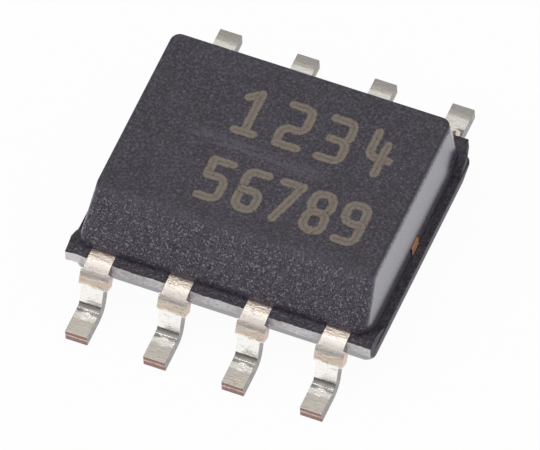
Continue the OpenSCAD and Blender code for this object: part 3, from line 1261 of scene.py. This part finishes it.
@dataclass
class Lead:
    """One stamped lead, from its landing inside the moulding to its foot."""

    number: int = 1
    pitch: float = 1.27
    sheet_z: float = 0.62
    thick: float = 0.2
    tip_y: float = 1.23
    landing_w: float = 0.5
    landing_l: float = 0.24
    landing_reach: float = 0.35
    wing_w: float = 0.56
    wing_y: float = 1.574
    wing_l: float = 0.12
    shoulder_w: float = 0.4
    bend_y: float = 1.999
    bend_z: float = 0.52
    shoulder_r: float = 0.3
    lean: float = 24.0
    stub_w: float = 0.47
    stub_turn: float = 24.0
    stub_leg: float = 0.14
    leg_w: float = 0.36
    leg_l: float = 0.4189
    heel_y: float = 2.5348
    heel_z: float = 0.3
    end_y: float = 3.0
    bend_steps: int = 8
    stub_steps: int = 4
    heel_steps: int = 10
    rounding: float = 0.012

    @property
    def along(self) -> float:
        """Place along the moulding."""
        place = self.number if self.front else 2 * PER_SIDE + 1 - self.number
        return (place - (PER_SIDE + 1) / 2) * self.pitch

    @property
    def front(self) -> bool:
        """Whether the lead is on the side with the bevel."""
        return self.number <= PER_SIDE

    @property
    def inward(self) -> int:
        """Side that a corner lead's landing reaches to: -1 or 1, and 0 for the others."""
        return {1: -1, 4: 1, 5: -1, 8: 1}.get(self.number, 0)

    def finger(self) -> Bench:
        """Makes the level part, with its landing and its locking wings.

        Returns:
            The bench, in edit mode.
        """
        half = self.shoulder_w / 2
        top = self.sheet_z + self.thick
        bench = Bench.block("lead", (-half, self.tip_y, self.sheet_z),
                            (half, self.bend_y, top))
        for y in (self.tip_y + self.landing_l, self.wing_y, self.wing_y + self.wing_l):
            bench.cut((0, y, 0), (0, 1, 0))
        for side in (-1, 1):
            reach = self.landing_reach if side == self.inward else 0.0
            bench.faces(lambda at, n: n.x * side > FACING and at.y < self.tip_y + self.landing_l)
            bench.extrude((side * ((self.landing_w - self.shoulder_w) / 2 + reach), 0, 0))
            bench.faces(lambda at, n: n.x * side > FACING
                        and self.wing_y < at.y < self.wing_y + self.wing_l)
            bench.extrude((side * (self.wing_w - self.shoulder_w) / 2, 0, 0))
        return bench

    def form(self, bench: Bench) -> None:
        """Bends the strip down to its foot, narrower past the dam bar.

        Args:
            bench: The finger.
        """
        turn = 90 - self.lean
        down = Vector((0, math.sin(math.radians(self.lean)), -math.cos(math.radians(self.lean))))
        axis, centre = (1, 0, 0), (0, self.bend_y, self.bend_z)
        bench.faces(lambda at, n: n.y > FACING and at.y > self.bend_y - NEAR)
        bench.spin(self.bend_steps, self.stub_turn - turn, centre, axis)
        bench.spin(self.stub_steps, -self.stub_turn, centre, axis)
        bench.extrude(down * self.stub_leg)
        bench.extrude((0, 0, 0)).resize((self.leg_w / self.shoulder_w, 1, 1), (0, 0, 0))
        for _ in range(2):
            bench.extrude(down * (self.leg_l - self.stub_leg) / 2)
        bench.spin(self.heel_steps, turn, (0, self.heel_y, self.heel_z), axis)
        bench.extrude((0, self.end_y - self.heel_y, 0))

    def stubs(self, bench: Bench) -> None:
        """Widens the strip where the dam bar was cut off.

        Args:
            bench: The formed strip.
        """
        turn = 90 - self.lean - self.stub_turn
        start = self.bend_y + self.shoulder_r * math.sin(math.radians(turn)) * 0.6
        for side in (-1, 1):
            bench.faces(lambda at, n: n.x * side > FACING
                        and abs(at.x) > self.leg_w / 2 + NEAR
                        and at.y > start and at.z < self.sheet_z + self.thick - 0.02)
            bench.extrude((side * (self.stub_w - self.shoulder_w) / 2, 0, 0))

    def blank(self) -> bpy.types.Object:
        """Models the lead as a back one, at the middle of its side.

        Returns:
            The lead, undressed and in object mode.
        """
        bench = self.finger()
        self.form(bench)
        self.stubs(bench)
        bench.clean()
        bench.faces(lambda at, n: abs(n.x) > FACING).paint(2)
        bench.faces(lambda at, n: (n.y > FACING and at.y > self.end_y - NEAR)
                    or (abs(n.x) > FACING and abs(at.x) > self.stub_w / 2 - NEAR
                        and at.y > self.bend_y)).paint(1)
        bench.modify("BEVEL", width=self.rounding, segments=2, limit_method="ANGLE",
                     angle_limit=math.radians(38), material=-1)
        return bench.clean().smooth(35).off()

    def build(self, blanks: dict[int, bpy.types.Object]) -> bpy.types.Object:
        """Copies the lead from its blank to its place and dresses it.

        Args:
            blanks: The blanks by the side that their landing reaches to.

        Returns:
            The piece, which stands for its CAD node.
        """
        if self.inward not in blanks:
            blanks[self.inward] = self.blank()
        piece = blanks[self.inward].copy()
        piece.data = piece.data.copy()
        piece.name = f"lead_{self.number}_formed"
        bpy.context.scene.collection.objects.link(piece)
        turn = Matrix.Rotation(math.pi if self.front else 0.0, 4, "Z")
        piece.data.transform(Matrix.Translation((self.along, 0, 0)) @ turn)
        return finish_piece(
            piece, [TinPlate(), ShearedCopper(), StampedEdge()],
            f"lead_{self.number}")


def build_leads() -> None:
    """Builds the eight leads from three blanks, and throws the blanks away."""
    blanks: dict[int, bpy.types.Object] = {}
    for number in LEADS:
        Lead(number).build(blanks)
    for blank in blanks.values():
        bpy.data.objects.remove(blank)


# --------------------------------------------------------------------------- marking


@dataclass(frozen=True)
class Run:
    """A straight stretch of a stroke."""

    length: float


@dataclass(frozen=True)
class Turn:
    """A round stretch of a stroke: radius, and degrees to the left."""

    radius: float
    degrees: float


@dataclass(frozen=True)
class Stroke:
    """One stroke of a numeral: where it starts, its heading and its stretches."""

    x: float
    y: float
    heading: float
    moves: tuple[Union[Run, Turn], ...]


@dataclass(frozen=True)
class Line:
    """A line of numerals: digits, their centres, the line's foot, and a cell's size."""

    digits: tuple[int, ...]
    centres: tuple[float, ...]
    base: float
    w: float
    h: float


@dataclass
class Marking:
    """Plain counting numerals in two lines, lasered into the top."""

    top: float = 1.65
    proud: float = 0.0006
    depth: float = 0.02
    stroke: float = 0.15
    first: float = 0.02
    steps: int = 8
    turn_r: float = 0.12
    lines: tuple[Line, ...] = (
        Line((1, 2, 3, 4), (-0.56, 0.12, 0.80, 1.48), 0.415, 0.34, 0.74),
        Line((5, 6, 7, 8, 9), (-0.62, -0.04, 0.52, 1.05, 1.60), -0.885, 0.30, 0.68),
    )

    def numeral(self, digit: int, w: float, h: float) -> list[Stroke]:
        """Strokes of a digit in a cell whose lower left corner is the origin.

        Args:
            digit: From 1 to 9.
            w: Width of the cell, between the centres of its strokes.
            h: Height of the cell.

        Returns:
            The strokes.
        """
        r = self.turn_r
        lean = math.degrees(math.atan2(h, w * 0.75))
        shapes = {
            1: [Stroke(0, h - 0.12, 35, (Run(0.19),)), Stroke(w / 2, h, -90, (Run(h),)),
                Stroke(0.02, 0, 0, (Run(w - 0.04),))],
            2: [Stroke(0, h, 0, (Run(w - r), Turn(r, -90), Run(h * 0.42 - r),
                                 Turn(r, -90), Run(w - 2 * r), Turn(r, 90),
                                 Run(h * 0.58 - 2 * r))),
                Stroke(0, 0, 0, (Run(w),))],
            3: [Stroke(0, h, 0, (Run(w - r), Turn(r, -90), Run(h / 2 - 2 * r),
                                 Turn(r, -90), Run(w * 0.45))),
                Stroke(w * 0.3, h / 2, 0, (Run(w * 0.7 - r), Turn(r, -90),
                                           Run(h / 2 - 2 * r), Turn(r, -90), Run(w - r)))],
            4: [Stroke(w * 0.1, h, -90, (Run(h * 0.55 - 0.05), Turn(0.1, 90),
                                         Run(w * 0.8 - 0.05))),
                Stroke(w * 0.72, h * 0.75, -90, (Run(h * 0.75),))],
            5: [Stroke(w, h, 180, (Run(w),)),
                Stroke(0, h, -90, (Run(h * 0.42),)),
                Stroke(0, h * 0.58, 0, (Run(w - r), Turn(r, -90), Run(h * 0.58 - 2 * r),
                                        Turn(r, -90), Run(w - r)))],
            6: [Stroke(w, h, 180, (Run(w - r), Turn(r, 90), Run(h - 2 * r), Turn(r, 90),
                                   Run(w - 2 * r), Turn(r, 90), Run(h * 0.5 - 2 * r),
                                   Turn(r, 90))),
                Stroke(w - r, h * 0.5, 180, (Run(w - r),))],
            7: [Stroke(0, h, 0, (Run(w),)),
                Stroke(w, h, 180 + lean, (Run(math.hypot(h, w * 0.75)),))],
            8: [Stroke(w / 2, y, 90 - side * 90, (Run(w / 2 - r), Turn(r, -side * 90),
                                                  Run(h / 2 - 2 * r), Turn(r, -side * 90),
                                                  Run(w / 2 - r)))
                for y in (h, h / 2) for side in (1, -1)],
            9: [Stroke(r + 0.03, h * 0.5, 180, (Run(0.03), Turn(r, -90), Run(h * 0.5 - 2 * r),
                                                Turn(r, -90), Run(w - 2 * r), Turn(r, -90),
                                                Run(h - 2 * r), Turn(r, -90),
                                                Run(w - r))),
                Stroke(w, h * 0.5, 180, (Run(w - r),))],
        }
        return shapes[digit]

    def cap(self, bench: Bench, at: Vector, ahead: Vector, turn: float) -> None:
        """Rounds one end of a ribbon.

        Args:
            bench: The ribbon.
            at: Middle of that end.
            ahead: The stroke's heading there.
            turn: Degrees of the cap: -180 at the stroke's end, 180 at its start.
        """
        left = Vector((-ahead.y, ahead.x, 0))
        bench.edges(lambda a, b: all(
            abs((v - at).dot(ahead)) < NEAR and -NEAR < (v - at).dot(left) < self.stroke
            for v in (a, b)))
        bench.spin(self.steps, turn, at, (0, 0, 1))

    def ribbon(self, stroke: Stroke, z: float) -> bpy.types.Object:
        """Draws one stroke as a ribbon with round ends.

        Args:
            stroke: The stroke.
            z: Height of its upper face.

        Returns:
            The ribbon, in object mode.
        """
        heading = math.radians(stroke.heading)
        first_ahead = ahead = Vector((math.cos(heading), math.sin(heading), 0))
        start = Vector((stroke.x, stroke.y, z))
        Bench.clear()
        bpy.ops.mesh.primitive_grid_add(x_subdivisions=1, y_subdivisions=4, size=1.0)
        bench = Bench("stroke")
        bench.resize((self.first, self.stroke, 1), (0, 0, 0)).move((self.first / 2, 0, 0))
        bench.off()
        share = bench.obj.data.attributes.new("stroke", "FLOAT", "POINT")
        for vert, value in zip(bench.obj.data.vertices, share.data):
            value.value = min(1.0, abs(vert.co.y) / (self.stroke / 2))
        bench.obj.data.transform(
            Matrix.Translation(start) @ Matrix.Rotation(heading, 4, "Z"))
        bpy.ops.object.mode_set(mode="EDIT")
        end = start + ahead * self.first
        bench.edges(lambda a, b: all(abs((v - end).dot(ahead)) < NEAR for v in (a, b)))
        done = self.first
        for move in stroke.moves:
            if isinstance(move, Run):
                bench.extrude(ahead * (move.length - done))
                end = end + ahead * (move.length - done)
            else:
                side = Vector((-ahead.y, ahead.x, 0)) * math.copysign(1, move.degrees)
                centre = end + side * move.radius
                bench.spin(self.steps, move.degrees, centre, (0, 0, 1))
                turned = Matrix.Rotation(math.radians(move.degrees), 3, "Z")
                end, ahead = centre + turned @ (end - centre), turned @ ahead
            done = 0.0
        self.cap(bench, end, ahead, -180)
        self.cap(bench, start, first_ahead, 180)
        bench.clean()
        bench.faces(lambda at, normal: normal.z < 0)
        bpy.ops.mesh.flip_normals()
        bench.modify("SOLIDIFY", thickness=self.depth, offset=-1.0)
        return bench.off()

    def build(self) -> bpy.types.Object:
        """Models both lines of numerals and dresses them.

        Returns:
            The piece.
        """
        ribbons = []
        for line in self.lines:
            for digit, centre in zip(line.digits, line.centres):
                corner = (centre - line.w / 2, line.base)
                for number, stroke in enumerate(self.numeral(digit, line.w, line.h)):
                    placed = replace(stroke, x=stroke.x + corner[0], y=stroke.y + corner[1])
                    ribbons.append(self.ribbon(placed, self.top + self.proud * (number + 1)))
        return finish_piece(join("marking", ribbons).off(), [LaserMark()])


# --------------------------------------------------------------------------- studio


@dataclass(frozen=True)
class Lamp:
    """A round lamp: its name, the way to it, its diameter and its power."""

    name: str
    way: Point
    size: float
    watts: float


@dataclass
class Studio:
    """Pale floor, soft light and the camera. The camera's places are in millimetres."""

    azimuth: float = 25.54
    elevation: float = 54.68
    roll: float = -3.41
    distance: float = 255.66
    lens: float = 1136.6
    target: Point = (0.0, 0.0, 0.8)
    aim: Point = (0.010, -0.421)
    sensor: float = 36.0
    clip: Point = (0.01, 10.0)
    floor_size: float = 2.0
    lamps: tuple[Lamp, ...] = (
        Lamp("softbox", (-0.60, -0.50, 0.62), 0.08, 0.12),
        Lamp("spot", (-0.25, 0.31, 0.92), 0.03, 0.02),
    )
    lamp_distance: float = 0.3

    def camera(self) -> None:
        """Places the camera."""
        a, e, r = (math.radians(v) for v in (self.azimuth, self.elevation, self.roll))
        back = Vector((math.sin(a) * math.cos(e), -math.cos(a) * math.cos(e), math.sin(e)))
        level = Vector((math.cos(a), math.sin(a), 0))
        upward = back.cross(level)
        right = math.cos(r) * level + math.sin(r) * upward
        up = -math.sin(r) * level + math.cos(r) * upward
        aim = Vector(self.target) + self.aim[0] * right + self.aim[1] * up
        data = bpy.data.cameras.new("camera")
        data.lens = self.lens
        data.sensor_width = self.sensor
        data.clip_start, data.clip_end = self.clip
        made = bpy.data.objects.new("camera", data)
        bpy.context.scene.collection.objects.link(made)
        turn = Matrix((right, up, back)).transposed().to_4x4()
        made.matrix_world = Matrix.Translation((aim + back * self.distance) * MM) @ turn
        bpy.context.scene.camera = made

    def floor(self) -> None:
        """Lays the floor at the seating plane."""
        Bench.clear()
        bpy.ops.mesh.primitive_plane_add(size=self.floor_size, location=(0, 0, 0))
        made = bpy.context.object
        made.name = "floor"
        made.data.materials.append(StudioFloor().material())

    def world(self) -> None:
        """Lights the room: a pale ceiling over a dim horizon, white to the eye."""
        world = bpy.data.worlds.new("studio")
        world.use_nodes = True
        bpy.context.scene.world = world
        graph = Graph(world.node_tree)
        way = graph.node("ShaderNodeTexCoord").outputs["Generated"]
        _, _, height = graph.axes(way)
        ramp = graph.node("ShaderNodeValToRGB", {"stops": [
            (0.0, (0.9, 0.9, 0.9)), (0.02, (0.16, 0.155, 0.15)),
            (0.3, (0.3, 0.29, 0.28)), (0.5, (0.58, 0.575, 0.56)),
            (0.84, (0.62, 0.615, 0.6)), (1.0, (1.3, 1.3, 1.3))]}, {0: height})
        seen = graph.node("ShaderNodeLightPath").outputs["Is Camera Ray"]
        colour = graph.blend(ramp.outputs[0], (1.0, 1.0, 1.0), seen)
        light = graph.node("ShaderNodeBackground", inputs={"Color": colour})
        graph.node("ShaderNodeOutputWorld", inputs={"Surface": light.outputs[0]})

    def hang(self, lamp: Lamp) -> None:
        """Hangs a lamp over the table, turned to the object.

        Args:
            lamp: The lamp.
        """
        way = Vector(lamp.way).normalized()
        data = bpy.data.lights.new(lamp.name, "AREA")
        data.shape = "DISK"
        data.size = lamp.size
        data.energy = lamp.watts
        made = bpy.data.objects.new(lamp.name, data)
        bpy.context.scene.collection.objects.link(made)
        turn = way.to_track_quat("Z", "Y").to_matrix().to_4x4()
        made.matrix_world = Matrix.Translation(way * self.lamp_distance) @ turn

    def build(self) -> None:
        """Sets up the whole studio."""
        self.camera()
        self.floor()
        self.world()
        for lamp in self.lamps:
            self.hang(lamp)
        bpy.context.scene.view_settings.view_transform = "Standard"


def dress_nodes() -> None:
    """Gives each CAD node that stays its own finish."""
    finishes = {
        "die_pad": (TieBarCopper(), Slot.COPPER),
        "die_attach": (Metal("silver_paste", (0.72, 0.72, 0.73), (0.45, 0.45, 0.47),
                             roughness=0.5, marks_per_mm=40.0), Slot.ADHESIVE),
        "die": (Metal("sawn_silicon", (0.30, 0.33, 0.42), (0.22, 0.20, 0.34),
                      roughness=0.12, metallic=0.8), Slot.SILICON),
    }
    gold = (Metal("gold_wire", (1.0, 0.76, 0.34), (0.85, 0.58, 0.22),
                  roughness=0.2, marks_per_mm=60.0), Slot.GOLD)
    finishes |= {f"bond_wire_{n}": gold for n in LEADS}
    for name, (finish, slot) in finishes.items():
        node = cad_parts[name]
        node.data.materials.clear()
        node.data.materials.append(finish.material())
        LOG.info("%s: dressed", name)


def main() -> None:
    """Builds the studio and every piece."""
    logging.basicConfig(level=logging.INFO, format="%(message)s")
    Studio().build()
    Moulding().build()
    Flash().build()
    build_leads()
    Marking().build()
    dress_nodes()


if __name__ == "__main__":
    main()
